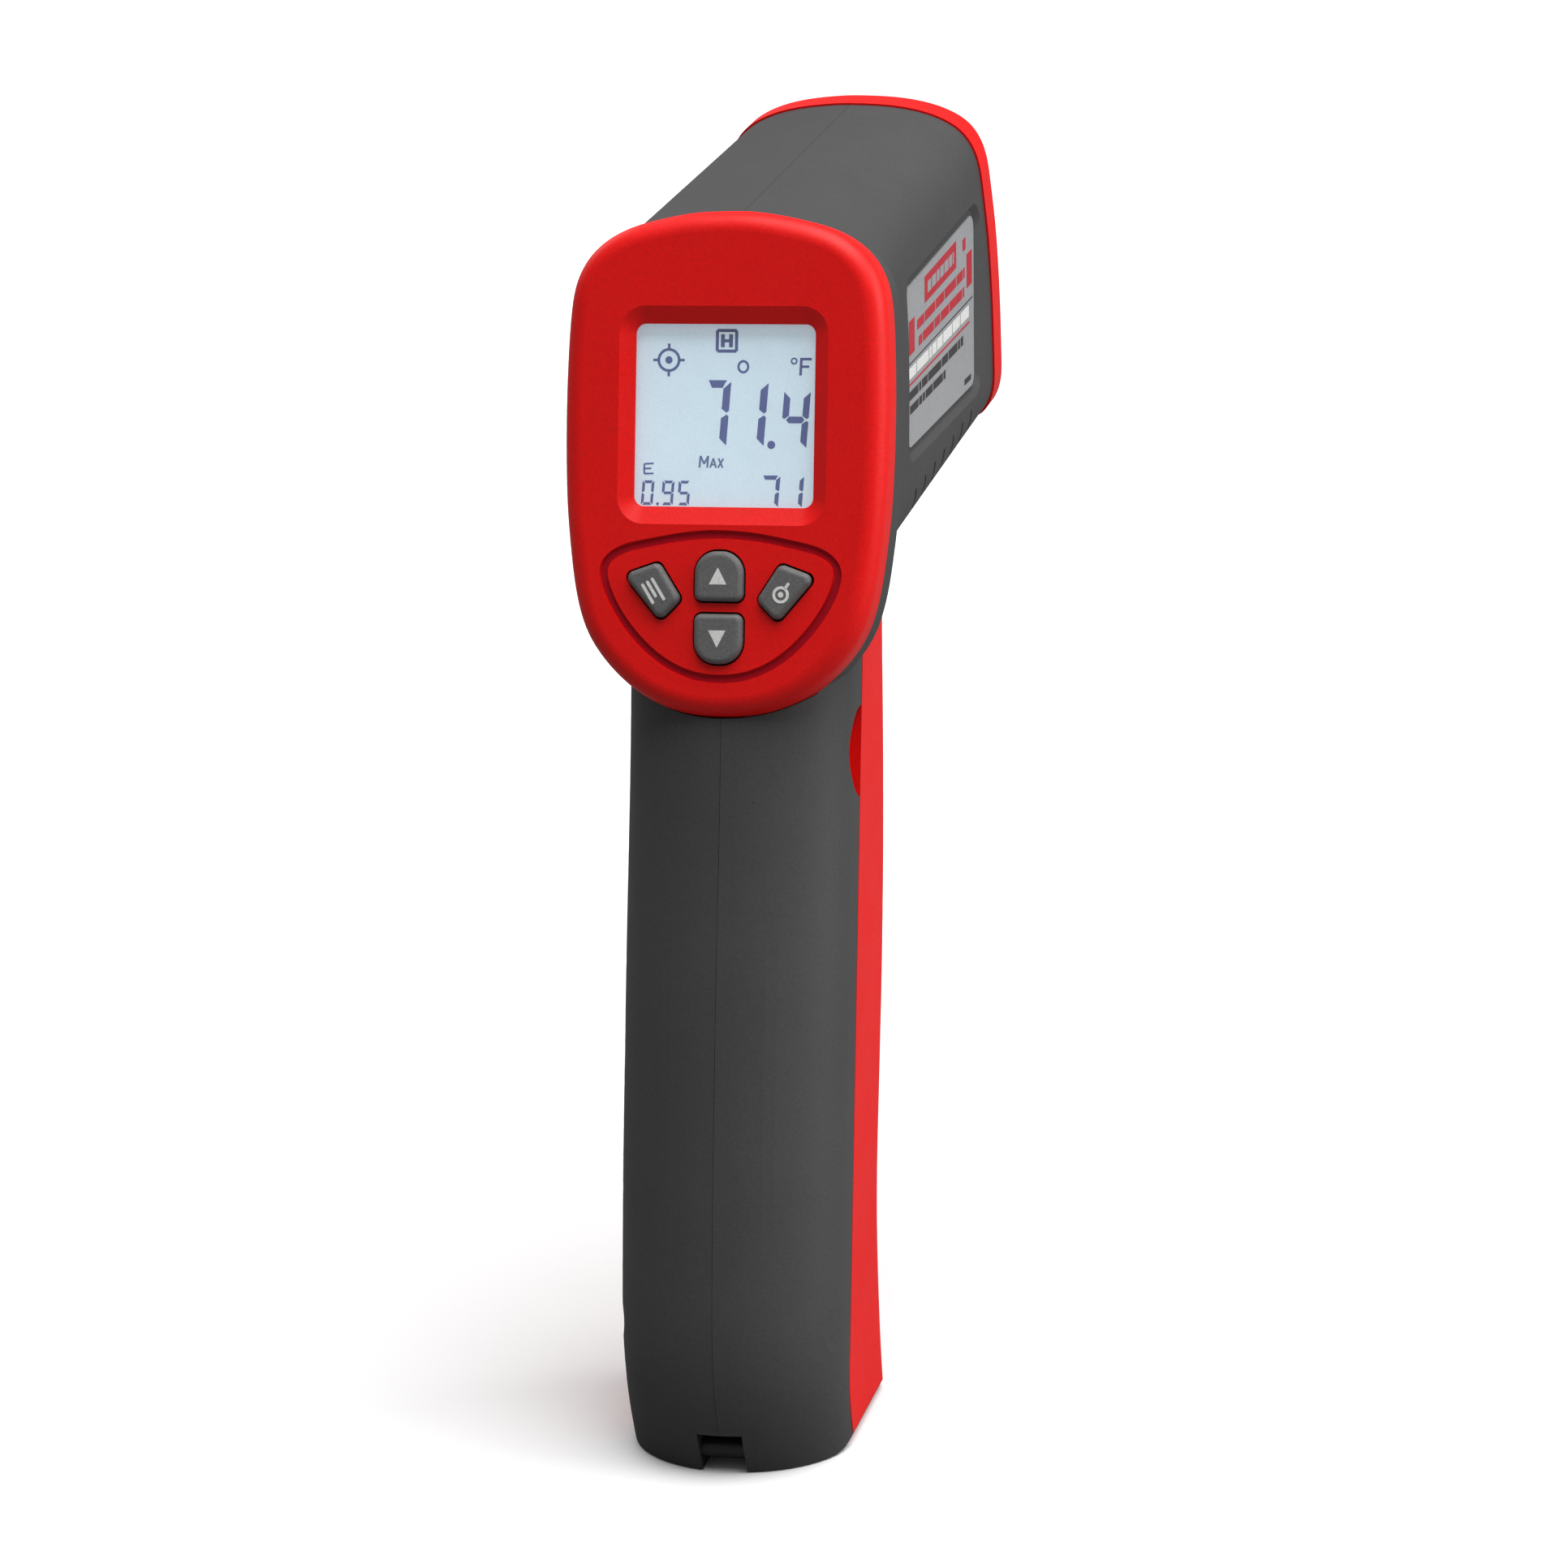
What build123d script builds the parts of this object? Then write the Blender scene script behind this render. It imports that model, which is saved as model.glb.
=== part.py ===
from build123d import *
import os
from math import sin, cos, radians, sqrt

os.makedirs("parts", exist_ok=True)

# ---------------------------------------------------------------- driving dimensions (mm)
FACE_TILT = 18.5          # display face leans forward at its top
FACE_Y, FACE_Z = -24.5, 151.4   # middle of the display window, on the face
BEZEL_DEPTH = 6.5         # red rear bezel, along the face normal
COLLAR_DEPTH = 12.6       # grey collar behind the bezel ends here
WALL = 2.0                # housing wall
SEAM = 0.03               # half of the seam between the two housing halves
BARREL_REAR_Y, BARREL_FRONT_Y = -30.0, 59.5
REAR_SCALE = 1.09         # barrel is this much wider at its rear
NOSE_LEN = 6.9            # red nose ring
GRIP_HALF = 17.0          # half the width of the grip
GRIP_CORNER = 6.0         # front corners of the grip
GRIP_ROUND = 13.0         # depth of the rounded back of the grip
FOOT_ROUND = 2.2          # lower corners of the grip, seen from behind
HINGE_Y, HINGE_Z = -35.3, 6.5   # battery door hinge axis, along X
TOE_R = 6.5               # toe of the door, about the hinge
DOOR_SWEEP = 18.0         # lower back edge of the door, about the hinge
DOOR_GAP = 0.3            # gap between door and housing
BOUND_Y, BOUND_Z, BOUND_SLOPE = -37.2, 56.3, 0.34   # line between housing and door
TRIG_Y, TRIG_Z = -5.0, 120.5    # trigger pivot
KEY_PROUD = 1.1           # keys stand this far above the face
KEY_TRAVEL = 0.6
OPTIC_Z, LASER_Z = 147.4, 165.4
BAT_TILT = 18.7

st, ct = sin(radians(FACE_TILT)), cos(radians(FACE_TILT))
FACE = Plane(origin=(0, FACE_Y, FACE_Z), x_dir=(1, 0, 0), z_dir=(0, -ct, st))
OUT = Axis((0, FACE_Y, FACE_Z), (0, -ct, st))
BAT = Plane(origin=(0, -38.1, 54.3), x_dir=(1, 0, 0),
            z_dir=(0, sin(radians(BAT_TILT)), cos(radians(BAT_TILT))))

# right half of the rear bezel outline on the face, from its top to its bottom
BEZEL = [(0, 29.9), (5.2, 29.65), (9.9, 28.85), (14.9, 27.5), (18.6, 25.6), (21.4, 22.9), (23.2, 19.3),
         (24.0, 14.5), (24.35, 8.0), (24.5, 0.0), (24.4, -7.5), (24.1, -14.0), (23.5, -20.0), (22.5, -26.5),
         (20.7, -32.0), (17.2, -36.9), (11.7, -41.3), (5.8, -43.55), (0, -44.15)]
# right half of the barrel section at the nose, about the window height
NOSE = [(0, 25.5), (4.8, 25.3), (9.8, 24.6), (14.4, 23.1), (17.7, 20.8), (19.6, 17.4), (20.4, 12.0),
        (20.8, 5.0), (20.9, -3.0), (20.8, -10.0), (20.6, -16.5), (20.0, -21.4), (17.9, -24.6),
        (13.4, -25.4), (6.0, -25.4), (0, -25.4)]
# fan field around the keys, right half
FAN = [(0, -18.0), (5.6, -18.4), (11.0, -19.4), (15.2, -20.6), (16.9, -22.2), (16.6, -25.2), (13.6, -30.4),
       (9.4, -34.6), (4.7, -37.1), (0, -37.8)]
# grip stations: height, back, front
GRIP = [(0, -64.2, -28.9), (6, -65.7, -28.8), (13, -66.45, -28.2), (21, -65.6, -27.1), (30, -63.2, -25.2),
        (42, -59.6, -21.2), (58, -54.3, -15.2), (74, -48.9, -9.9), (90, -43.1, -5.5), (108, -37.1, -1.4),
        (122, -32.8, 1.8), (134, -29.2, 4.6)]
# key outlines on the face: the two side keys are kite shapes
SEL = [(-14.6, -23.4), (-9.2, -21.5), (-5.7, -26.9), (-8.9, -30.1)]
SET = [(14.6, -23.4), (9.2, -21.5), (5.7, -26.9), (8.9, -30.1)]
# side label outline, along the barrel and up, about (18, FACE_Z)
LABEL = [(-12.6, 10.7), (36.4, 9.5), (29.8, -16.3), (-18.4, -12.6)]
LABEL_LEFT = [(-12.6, 10.7), (33.0, 9.6), (27.6, -11.8), (-17.6, -11.2)]   # clear of the screw tunnels
POSTS = [(-54.6, 20.0), (-31.5, 86.6), (4.0, 132.4), (45.0, 132.4)]


def inset(half, t):
    """A half outline moved inward by t along its own normal."""
    out = []
    n = len(half)
    for i, (x, y) in enumerate(half):
        x0, y0 = half[i - 1] if i else (-half[1][0], half[1][1])
        x1, y1 = half[i + 1] if i < n - 1 else (-half[n - 2][0], half[n - 2][1])
        dx, dy = x1 - x0, y1 - y0
        k = sqrt(dx * dx + dy * dy)
        px, py = x + dy / k * t, y - dx / k * t
        out.append((0.0 if i in (0, n - 1) else px, py))
    return out


def full(half):
    """Both halves of a symmetric outline, once round."""
    return list(half) + [(-x, y) for x, y in reversed(half[1:-1])]


def scaled(half, kx, ky, dz=0.0):
    return [(x * kx, y * ky + dz) for x, y in half]


def lifted(half, dz):
    return [(x, y + dz) for x, y in half]


def bound(z):
    return BOUND_Y + BOUND_SLOPE * (z - BOUND_Z)


def grow(poly, t):
    """A polygon grown by t, corner by corner."""
    n = len(poly)
    area = sum(poly[i][0] * poly[(i + 1) % n][1] - poly[(i + 1) % n][0] * poly[i][1] for i in range(n))
    s = 1.0 if area > 0 else -1.0
    out = []
    for i in range(n):
        p0, p1, p2 = poly[i - 1], poly[i], poly[(i + 1) % n]
        a = Vector(p1[0] - p0[0], p1[1] - p0[1]).normalized()
        b = Vector(p2[0] - p1[0], p2[1] - p1[1]).normalized()
        na = Vector(a.Y, -a.X) * s
        nb = Vector(b.Y, -b.X) * s
        m = (na + nb).normalized()
        k = t / m.dot(na)
        out.append((p1[0] + m.X * k, p1[1] + m.Y * k))
    return out


def quarter(w, y, depth):
    """Control points of a quarter ellipse, from the side (w, y) back to the middle."""
    k = 0.5523
    return [(w, y), (w, y - k * depth), (k * w, y - depth), (0, y - depth)]


# ---------------------------------------------------------------- working shapes of the housing
with BuildPart() as grip_outer:
    for z, back, front in GRIP:
        with BuildSketch(Plane.XY.offset(z)):
            w, r = GRIP_HALF, GRIP_CORNER
            with BuildLine():
                Line((w, back + GRIP_ROUND), (w, front - r))
                ThreePointArc((w, front - r), (w - r + r * 0.70711, front - r + r * 0.70711), (w - r, front))
                Line((w - r, front), (-w + r, front))
                ThreePointArc((-w + r, front), (-w + r - r * 0.70711, front - r + r * 0.70711), (-w, front - r))
                Line((-w, front - r), (-w, back + GRIP_ROUND))
                Bezier(*quarter(-w, back + GRIP_ROUND, GRIP_ROUND))
                Bezier(*reversed(quarter(w, back + GRIP_ROUND, GRIP_ROUND)))
            make_face()
    loft()
    # lower corners seen from behind, and the round toe seen from the side
    with BuildSketch(Plane.XZ.offset(10)):
        with BuildLine():
            Polyline((-30, 150), (-30, 30), (-GRIP_HALF - 0.02, 30), (-GRIP_HALF - 0.02, FOOT_ROUND))
            ThreePointArc((-GRIP_HALF - 0.02, FOOT_ROUND), (-GRIP_HALF + FOOT_ROUND * (1 - 0.70711), FOOT_ROUND * (1 - 0.70711)),
                          (-GRIP_HALF + FOOT_ROUND, 0))
            Line((-GRIP_HALF + FOOT_ROUND, 0), (GRIP_HALF - FOOT_ROUND, 0))
            ThreePointArc((GRIP_HALF - FOOT_ROUND, 0), (GRIP_HALF - FOOT_ROUND * (1 - 0.70711), FOOT_ROUND * (1 - 0.70711)),
                          (GRIP_HALF + 0.02, FOOT_ROUND))
            Polyline((GRIP_HALF + 0.02, FOOT_ROUND), (GRIP_HALF + 0.02, 30), (30, 30), (30, 150), (-30, 150))
        make_face()
    extrude(amount=100, both=True, mode=Mode.INTERSECT)
    with BuildSketch(Plane.YZ):
        with BuildLine():
            Polyline((-90, 150), (-90, 0), (HINGE_Y, 0))
            ThreePointArc((HINGE_Y, 0), (HINGE_Y + TOE_R * 0.70711, HINGE_Z - TOE_R * 0.70711), (HINGE_Y + TOE_R, HINGE_Z))
            Polyline((HINGE_Y + TOE_R, HINGE_Z), (HINGE_Y + TOE_R + 0.4, 12.0), (-20, 20), (20, 40), (20, 150), (-90, 150))
        make_face()
    extrude(amount=30, both=True, mode=Mode.INTERSECT)

with BuildPart() as grip_inner:
    for z, back, front in GRIP:
        if z < 6:
            continue
        zz = HINGE_Z if z == 6 else z
        with BuildSketch(Plane.XY.offset(zz)):
            w, r = GRIP_HALF - WALL, GRIP_CORNER - WALL
            b, f = back + WALL + 0.2, front - WALL - 0.2
            with BuildLine():
                Line((w, b + GRIP_ROUND - WALL), (w, f - r))
                ThreePointArc((w, f - r), (w - r + r * 0.70711, f - r + r * 0.70711), (w - r, f))
                Line((w - r, f), (-w + r, f))
                ThreePointArc((-w + r, f), (-w + r - r * 0.70711, f - r + r * 0.70711), (-w, f - r))
                Line((-w, f - r), (-w, b + GRIP_ROUND - WALL))
                Bezier(*quarter(-w, b + GRIP_ROUND - WALL, GRIP_ROUND - WALL))
                Bezier(*reversed(quarter(w, b + GRIP_ROUND - WALL, GRIP_ROUND - WALL)))
            make_face()
    loft()

# everything in front of the door line, with and without the gap
door_top = 125.4
with BuildPart() as door_region:
    with BuildSketch(Plane.YZ):
        g = DOOR_GAP / 2
        with BuildLine():
            Polyline((bound(15.5) + g, 15.5), (bound(door_top) + g, door_top), (25, door_top), (25, -6),
                     (HINGE_Y, -6), (HINGE_Y, HINGE_Z), (bound(15.5) + g, 15.5))
        make_face()
        with Locations((HINGE_Y, HINGE_Z)):
            Circle(DOOR_SWEEP - g)
    extrude(amount=30, both=True)
with BuildPart() as door_region_wide:
    with BuildSketch(Plane.YZ):
        g = -DOOR_GAP / 2
        with BuildLine():
            Polyline((bound(15.5) + g, 15.5), (bound(127) + g, 127), (25, 127), (25, -6),
                     (HINGE_Y, -6), (HINGE_Y, HINGE_Z), (bound(15.5) + g, 15.5))
        make_face()
        with Locations((HINGE_Y, HINGE_Z)):
            Circle(DOOR_SWEEP - g)
    extrude(amount=30, both=True)

with BuildPart() as grip_grey:
    add(grip_outer.part)
    add(door_region_wide.part, mode=Mode.SUBTRACT)

with BuildPart() as barrel_outer:
    with BuildSketch(Plane.XZ.offset(-BARREL_REAR_Y)):
        with BuildLine():
            Spline(*full(scaled(NOSE, REAR_SCALE, 1.0, FACE_Z)), periodic=True)
        make_face()
    with BuildSketch(Plane.XZ.offset(-BARREL_FRONT_Y)):
        with BuildLine():
            Spline(*full(scaled(NOSE, 1.0, 1.0, FACE_Z)), periodic=True)
        make_face()
    loft(ruled=True)

with BuildPart() as barrel_inner:
    with BuildSketch(Plane.XZ.offset(-BARREL_REAR_Y + 8)):
        with BuildLine():
            Spline(*full(lifted(inset(scaled(NOSE, REAR_SCALE, 1.0), WALL), FACE_Z)), periodic=True)
        make_face()
    with BuildSketch(Plane.XZ.offset(-BARREL_FRONT_Y - 1)):
        with BuildLine():
            Spline(*full(lifted(inset(NOSE, WALL), FACE_Z)), periodic=True)
        make_face()
    loft(ruled=True)

with BuildPart() as collar_outer:
    with BuildSketch(FACE.offset(-COLLAR_DEPTH)):
        with BuildLine():
            Spline(*full(inset(BEZEL, 0.12)), periodic=True)
        make_face()
    extrude(amount=COLLAR_DEPTH - BEZEL_DEPTH)
    fillet(collar_outer.faces().sort_by(OUT)[0].edges(), 1.6)

# the collar keeps a front wall, which the barrel and the grip open where they join it
with BuildPart() as collar_inner:
    with BuildSketch(FACE.offset(-COLLAR_DEPTH + 1.8)):
        with BuildLine():
            Spline(*full(inset(BEZEL, 2.5)), periodic=True)
        make_face()
    extrude(amount=COLLAR_DEPTH)

# room that the rear bezel takes out of the housing
with BuildPart() as bezel_room:
    with BuildSketch(FACE.offset(-BEZEL_DEPTH)):
        with BuildLine():
            Spline(*full(inset(BEZEL, -0.12)), periodic=True)
        make_face()
    extrude(amount=30)


# the hollow of the housing behind the door line, and in the barrel
with BuildPart() as hollow:
    add(grip_inner.part)
    add(door_region_wide.part, mode=Mode.SUBTRACT)
    add(barrel_inner.part)
    add(collar_inner.part)

# ---------------------------------------------------------------- housing, both halves in one
with BuildPart() as housing:
    add(grip_grey.part)
    add(barrel_outer.part)
    add(collar_outer.part)
    add(bezel_room.part, mode=Mode.SUBTRACT)
    add(hollow.part, mode=Mode.SUBTRACT)
    # floor tongue that reaches between the walls of the door, and its two hinge ears
    with BuildSketch(Plane.YZ):
        with BuildLine():
            Polyline((-62, 0), (HINGE_Y - 6.9, 0), (HINGE_Y - 7.0, 2.2), (-62, 2.2), (-62, 0))
        make_face()
    extrude(amount=9.6, both=True)
    with BuildSketch(Plane.YZ.offset(9.9), Plane.YZ.offset(-12.5)):
        with BuildLine():
            Polyline((-52, 1.2), (HINGE_Y - 7.6, 1.2), (HINGE_Y - 2.26, HINGE_Z - 2.26))
            ThreePointArc((HINGE_Y - 2.26, HINGE_Z - 2.26), (HINGE_Y + 3.2, HINGE_Z), (HINGE_Y, HINGE_Z + 3.2))
            Polyline((HINGE_Y, HINGE_Z + 3.2), (-44, 8.2), (-52, 3.0), (-52, 1.2))
        make_face()
    extrude(amount=2.6)
    with Locations((0, -50.0, 1.7)):
        Box(25.0, 9.0, 2.6)
    with BuildSketch(Plane.YZ.offset(11)):
        with Locations((HINGE_Y, HINGE_Z)):
            Circle(1.56)
    extrude(amount=11 + 13, both=True, mode=Mode.SUBTRACT)
    # trigger lugs under the barrel
    with BuildSketch(Plane.YZ.offset(5.0), Plane.YZ.offset(-7.0)):
        with BuildLine():
            Polyline((TRIG_Y - 3.4, 127.4), (TRIG_Y - 3.4, TRIG_Z))
            ThreePointArc((TRIG_Y - 3.4, TRIG_Z), (TRIG_Y, TRIG_Z - 3.4), (TRIG_Y + 3.4, TRIG_Z))
            Polyline((TRIG_Y + 3.4, TRIG_Z), (TRIG_Y + 3.4, 127.4), (TRIG_Y - 3.4, 127.4))
        make_face()
    extrude(amount=2.0)
    with BuildSketch(Plane.YZ):
        with Locations((TRIG_Y, TRIG_Z)):
            Circle(1.25)
    extrude(amount=9, both=True, mode=Mode.SUBTRACT)

# inner ribs and screw posts, cut to the housing's own shape
with BuildPart() as fittings:
    with BuildSketch(Plane.YZ.offset(-30)):
        with Locations(*POSTS):
            Circle(4.1)
    extrude(amount=60)
    with Locations(BAT):
        with Locations((0, 0, -27.1)):
            Box(60, 30, 1.6)
        with Locations((8.0, -15.0, -3.0), (-8.0, -15.0, -3.0)):
            Box(1.6, 11.8, 46.0)
    with Locations((0, 48.0, FACE_Z)):
        Box(60, 2.0, 60)
    # walls of the lanyard pocket
    with Locations((0, -62.0, 3.4)):
        Box(11.0, 12.0, 10.0)
with BuildPart() as envelope:
    add(grip_grey.part)
    add(barrel_outer.part)
    add(collar_outer.part)
    add(bezel_room.part, mode=Mode.SUBTRACT)
with BuildPart() as fitted:
    add(fittings.part)
    add(envelope.part, mode=Mode.INTERSECT)
    with BuildSketch(Plane.XZ.offset(-40)):
        with Locations((0, OPTIC_Z)):
            Circle(10.6)
        with Locations((0, LASER_Z)):
            Circle(4.06)
    extrude(amount=-20, mode=Mode.SUBTRACT)

with BuildPart() as housing_full:
    add(housing.part)
    add(fitted.part)
    # spring seat behind the trigger and bosses of the main board
    with Locations((2.6, -27.3, 96.2)):
        Box(5.0, 25.6, 2.0)
    with Locations((2.6, -15.25, 99.6)):
        Box(5.0, 1.5, 7.6)
    with BuildSketch(Plane.YZ.offset(-5.05)):
        with Locations((26.0, 141.0), (26.0, 163.0)):
            Circle(2.8)
    extrude(amount=-15.0)
    # screw holes: tunnels from the left, seats, and pilot holes on the right
    with BuildSketch(Plane.YZ.offset(-9.0)):
        with Locations(*POSTS):
            Circle(2.8)
    extrude(amount=-30, mode=Mode.SUBTRACT)
    with BuildSketch(Plane.YZ.offset(-10.0)):
        with Locations(*POSTS):
            Circle(1.6)
    extrude(amount=10.0, mode=Mode.SUBTRACT)
    with BuildSketch(Plane.YZ):
        with Locations(*POSTS):
            Circle(1.25)
    extrude(amount=7.2, mode=Mode.SUBTRACT)
    with BuildSketch(Plane.YZ.offset(-12)):
        with Locations((26.0, 141.0), (26.0, 163.0)):
            Circle(1.0)
    extrude(amount=8, mode=Mode.SUBTRACT)
    # half-moon finger notches
    with BuildSketch(Plane.YZ.offset(13.6), Plane.YZ.offset(-23.6)):
        with Locations((bound(98.9) + 0.9, 98.9)):
            Circle(6.9)
    extrude(amount=10, mode=Mode.SUBTRACT)
    # lanyard pocket, open to the back and below, and the hole for its bar
    with Locations((0, -63.5, 2.5)):
        Box(6.9, 8.6, 8.2, mode=Mode.SUBTRACT)
    with Locations((0, -62.6, 3.2)):
        Cylinder(1.5, 10.0, rotation=(0, 90, 0), mode=Mode.SUBTRACT)


for extra in housing_full.part.solids():
    bb = extra.bounding_box()
    print("housing solid", round(extra.volume, 1), bb.min, bb.max)

# recesses for the side labels, one on each side of the barrel, and the faint ticks under them
def side_plane(depth):
    a = radians(1.22)
    return Plane(origin=(21.79 - depth, 18.0, FACE_Z), x_dir=(-sin(a), cos(a), 0), z_dir=(cos(a), sin(a), 0))


with BuildPart() as recess_right:
    for depth, t in ((1.15, 0.9), (-0.6, 3.0)):
        with BuildSketch(side_plane(depth)) as rs:
            with BuildLine():
                Polyline(*grow(LABEL, t), close=True)
            make_face()
            fillet(rs.vertices(), 3.2)
    loft(ruled=True)
with BuildPart() as recess_of_left:
    for depth, t in ((1.15, 0.9), (-0.6, 3.0)):
        with BuildSketch(side_plane(depth)) as rs:
            with BuildLine():
                Polyline(*grow(LABEL_LEFT, t), close=True)
            make_face()
            fillet(rs.vertices(), 3.2)
    loft(ruled=True)
with BuildPart() as recess_left:
    add(mirror(recess_of_left.part, about=Plane.YZ))

with BuildPart() as ticks:
    for i in range(7):
        y = 2.2 + 6.8 * i
        k = 1.0 + (REAR_SCALE - 1.0) * (BARREL_FRONT_Y - y) / (BARREL_FRONT_Y - BARREL_REAR_Y)
        with Locations(Location((20.0 * k + 0.2, y, FACE_Z - 20.9), (0, 20, 0))):
            Box(1.6, 0.8, 3.2)

# ---------------------------------------------------------------- housing halves
with BuildPart() as left_shell:
    add(housing_full.part.solids().sort_by(SortBy.VOLUME)[-1])
    add(recess_left.part, mode=Mode.SUBTRACT)
    with Locations((-50 - SEAM, 0, 90)):
        Box(100, 220, 260, mode=Mode.INTERSECT)
left_shell.part.label = "left_shell"
export_step(left_shell.part, "parts/left_shell.step")

with BuildPart() as right_shell:
    add(housing_full.part.solids().sort_by(SortBy.VOLUME)[-1])
    add(recess_right.part, mode=Mode.SUBTRACT)
    add(ticks.part, mode=Mode.SUBTRACT)
    with Locations((50 + SEAM, 0, 90)):
        Box(100, 220, 260, mode=Mode.INTERSECT)
right_shell.part.label = "right_shell"
export_step(right_shell.part, "parts/right_shell.step")
print("halves", len(left_shell.part.solids()), len(right_shell.part.solids()))

with BuildPart() as lanyard_bar:
    with Locations((0, -62.6, 3.2)):
        Cylinder(1.5, 9.6, rotation=(0, 90, 0))
    chamfer(lanyard_bar.edges(), 0.2)
lanyard_bar.part.label = "lanyard_bar"
export_step(lanyard_bar.part, "parts/lanyard_bar.step")

with BuildPart() as case_screws:
    with BuildSketch(Plane.YZ.offset(-9.0)):
        with Locations(*POSTS):
            Circle(1.2)
    extrude(amount=15.5)
    with BuildSketch(Plane.YZ.offset(-10.02)):
        with Locations(*POSTS):
            Circle(2.45)
    extrude(amount=-1.9)
    with BuildSketch(Plane.YZ.offset(-10.5)):
        with Locations(*POSTS):
            Circle(1.2)
    extrude(amount=2.0)
    with BuildSketch(Plane.YZ.offset(-11.92)):
        with Locations(*POSTS):
            RectangleRounded(2.6, 0.6, 0.15)
            RectangleRounded(0.6, 2.6, 0.15)
    extrude(amount=1.0, mode=Mode.SUBTRACT)
case_screws.part.label = "case_screws"
export_step(case_screws.part, "parts/case_screws.step")

# ---------------------------------------------------------------- rear bezel with its window, frame, fan groove and key holes
with BuildPart() as rear_bezel:
    with BuildSketch(FACE.offset(-BEZEL_DEPTH)):
        with BuildLine():
            Spline(*full(BEZEL), periodic=True)
        make_face()
    extrude(amount=BEZEL_DEPTH)
    fillet(rear_bezel.faces().sort_by(OUT)[-1].edges(), 3.0)
    with BuildSketch(FACE.offset(-BEZEL_DEPTH)):
        with BuildLine():
            Spline(*full(inset(BEZEL, 2.3)), periodic=True)
        make_face()
    extrude(amount=BEZEL_DEPTH - 2.6, mode=Mode.SUBTRACT)
    # sloping frame down to the window
    with BuildSketch(FACE.offset(-1.2)):
        RectangleRounded(27.2, 26.7, 1.5)
    with BuildSketch(FACE):
        RectangleRounded(31.6, 31.9, 4.0)
    loft(mode=Mode.SUBTRACT)
    with BuildSketch(FACE.offset(-3)):
        RectangleRounded(27.2, 26.7, 1.5)
    extrude(amount=3, mode=Mode.SUBTRACT)
    with BuildSketch(FACE.offset(-3)):
        RectangleRounded(30.6, 30.2, 1.0)
    extrude(amount=1.5, mode=Mode.SUBTRACT)
    # groove round the key field
    with BuildSketch(FACE) as groove:
        with BuildLine():
            Spline(*full(inset(FAN, -1.3)), periodic=True)
        make_face()
        with BuildLine():
            Spline(*full(FAN), periodic=True)
        make_face(mode=Mode.SUBTRACT)
    extrude(amount=-0.55, mode=Mode.SUBTRACT)
    # key holes
    with BuildSketch(FACE.offset(-3)) as hole_up:
        with Locations((0, -23.45)):
            Rectangle(7.9, 7.9)
        fillet(hole_up.vertices().group_by(Axis.Y)[-1], 3.6)
        fillet(hole_up.vertices().group_by(Axis.Y)[0], 1.4)
    extrude(amount=3.5, mode=Mode.SUBTRACT)
    with BuildSketch(FACE.offset(-3)) as hole_down:
        with Locations((0, -32.6)):
            Rectangle(7.9, 7.9)
        fillet(hole_down.vertices().group_by(Axis.Y)[0], 3.6)
        fillet(hole_down.vertices().group_by(Axis.Y)[-1], 1.4)
    extrude(amount=3.5, mode=Mode.SUBTRACT)
    for poly in (SEL, SET):
        with BuildSketch(FACE.offset(-3)) as ks:
            with BuildLine():
                Polyline(*grow(poly, 0.3), close=True)
            make_face()
            fillet(ks.vertices(), 1.2)
        extrude(amount=3.5, mode=Mode.SUBTRACT)
rear_bezel.part.label = "rear_bezel"
export_step(rear_bezel.part, "parts/rear_bezel.step")
print("bezel", rear_bezel.part.volume, len(rear_bezel.part.solids()))

with BuildPart() as lcd_window:
    with BuildSketch(FACE.offset(-2.62)):
        RectangleRounded(30.3, 29.9, 0.9)
    extrude(amount=1.1)
lcd_window.part.label = "lcd_window"
export_step(lcd_window.part, "parts/lcd_window.step")

with BuildPart() as lcd_panel:
    with BuildSketch(FACE.offset(-4.2)):
        Rectangle(30.6, 30.4)
    extrude(amount=1.5)
lcd_panel.part.label = "lcd_panel"
export_step(lcd_panel.part, "parts/lcd_panel.step")

with BuildPart() as lcd_backlight:
    with BuildSketch(FACE.offset(-5.5)):
        RectangleRounded(31.0, 31.0, 0.6)
    extrude(amount=1.25)
lcd_backlight.part.label = "lcd_backlight"
export_step(lcd_backlight.part, "parts/lcd_backlight.step")

with BuildPart() as keypad_mat:
    with BuildSketch(FACE.offset(-5.5)):
        with BuildLine():
            Spline(*full(inset(FAN, 0.6)), periodic=True)
        make_face()
    extrude(amount=1.0)
keypad_mat.part.label = "keypad_mat"
export_step(keypad_mat.part, "parts/keypad_mat.step")

with BuildPart() as display_board:
    with BuildSketch(FACE.offset(-7.0)):
        with BuildLine():
            Spline(*full(inset(BEZEL, 3.6)), periodic=True)
        make_face()
    extrude(amount=1.45)
display_board.part.label = "display_board"
export_step(display_board.part, "parts/display_board.step")

with BuildPart() as board_connector:
    with BuildSketch(FACE.offset(-10.0)):
        with Locations((0.6, -1.0)):
            Rectangle(7.0, 12.0)
    extrude(amount=2.98)
board_connector.part.label = "board_connector"
export_step(board_connector.part, "parts/board_connector.step")

# ---------------------------------------------------------------- keys
KEY_D = 3.6
with BuildPart() as key_up:
    with BuildSketch(FACE.offset(-KEY_D)) as k0:
        with Locations((0, -23.45)):
            RectangleRounded(8.5, 8.5, 1.6)
    extrude(amount=0.7)
    with BuildSketch(FACE.offset(-KEY_D)) as k1:
        with Locations((0, -23.45)):
            Rectangle(7.3, 7.3)
        fillet(k1.vertices().group_by(Axis.Y)[-1], 3.3)
        fillet(k1.vertices().group_by(Axis.Y)[0], 1.1)
    extrude(amount=KEY_D + KEY_PROUD)
    fillet(key_up.faces().sort_by(OUT)[-1].edges(), 0.8)
key_up.part.label = "key_up"
export_step(key_up.part, "parts/key_up.step")

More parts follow.
